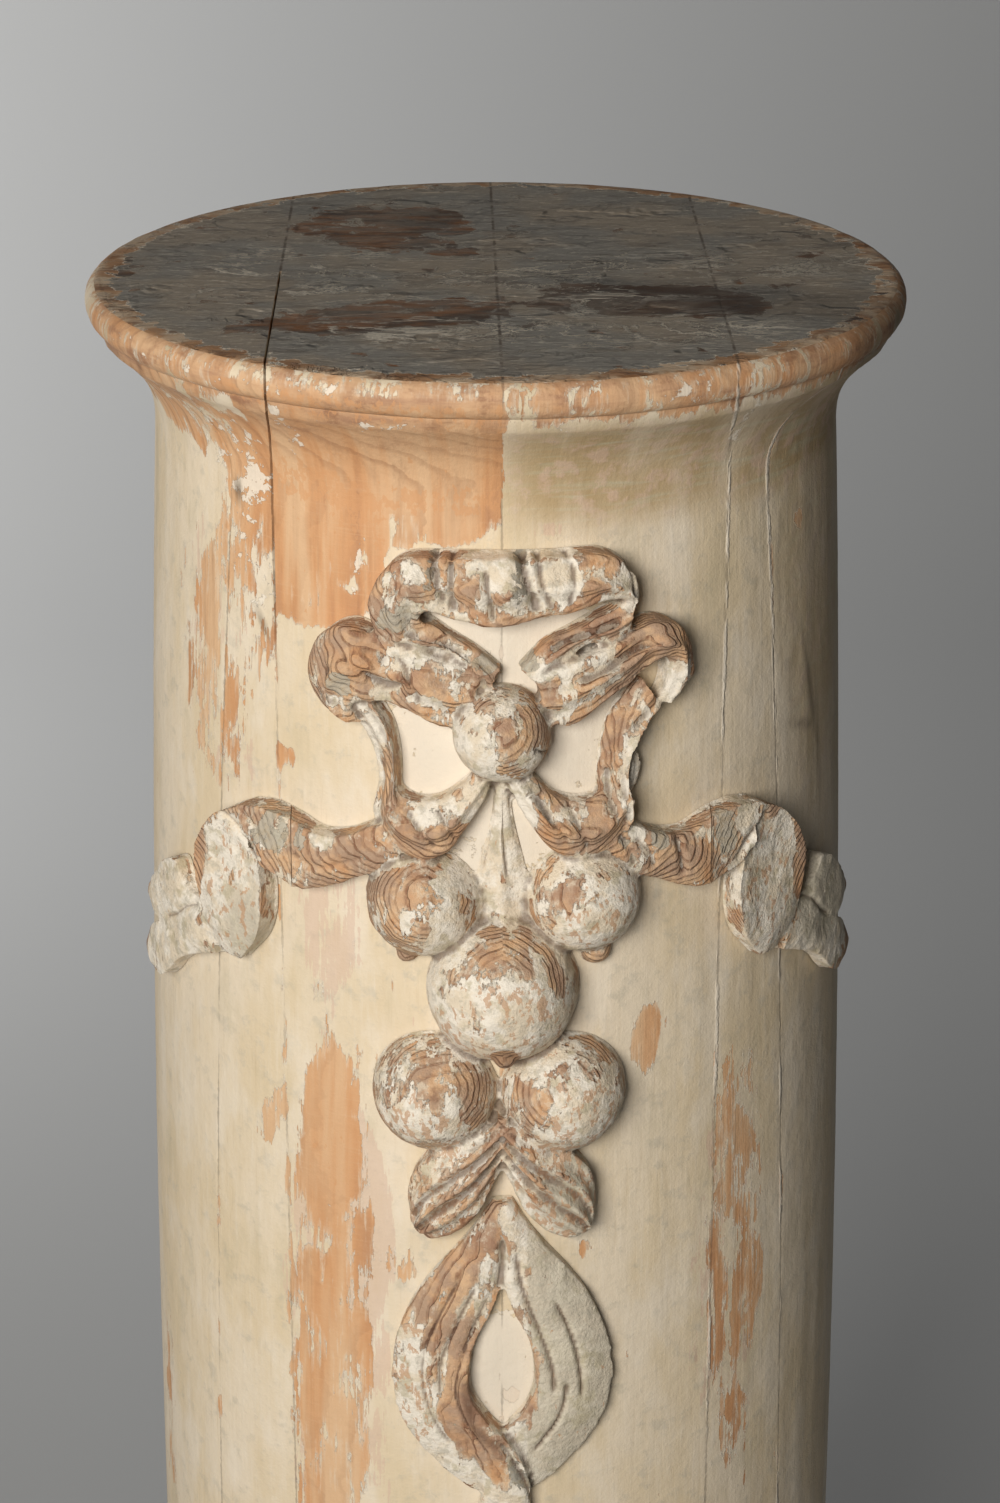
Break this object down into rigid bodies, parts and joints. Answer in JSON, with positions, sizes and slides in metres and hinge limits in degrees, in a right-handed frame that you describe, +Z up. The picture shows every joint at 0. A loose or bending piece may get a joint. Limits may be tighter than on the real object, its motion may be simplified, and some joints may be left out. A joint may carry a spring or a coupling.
{
  "type": "carved wooden column",
  "caption": "Round pine column with a flared flat top, a swelling shaft and a rounded foot, carved with a ribbon bow, fruit and leaves on its front.",
  "frame": {"origin": "centre of the underside", "axes": "+Z up along the column's turning axis, -Y out of the carved front, +X to the right of someone who looks at the front"},
  "size_m": [0.38, 0.38, 1.12],
  "materials": {
    "painted_pine": "cream paint over gesso, worn through to bare pine in patches",
    "carved_pine": "bare carved pine with traces of grey-green paint and white gesso"
  },
  "bodies": {
    "root": {"column": "painted_pine", "centre_carving": "carved_pine", "left_ribbon_end": "carved_pine", "right_ribbon_end": "carved_pine"}
  },
  "joints": []
}
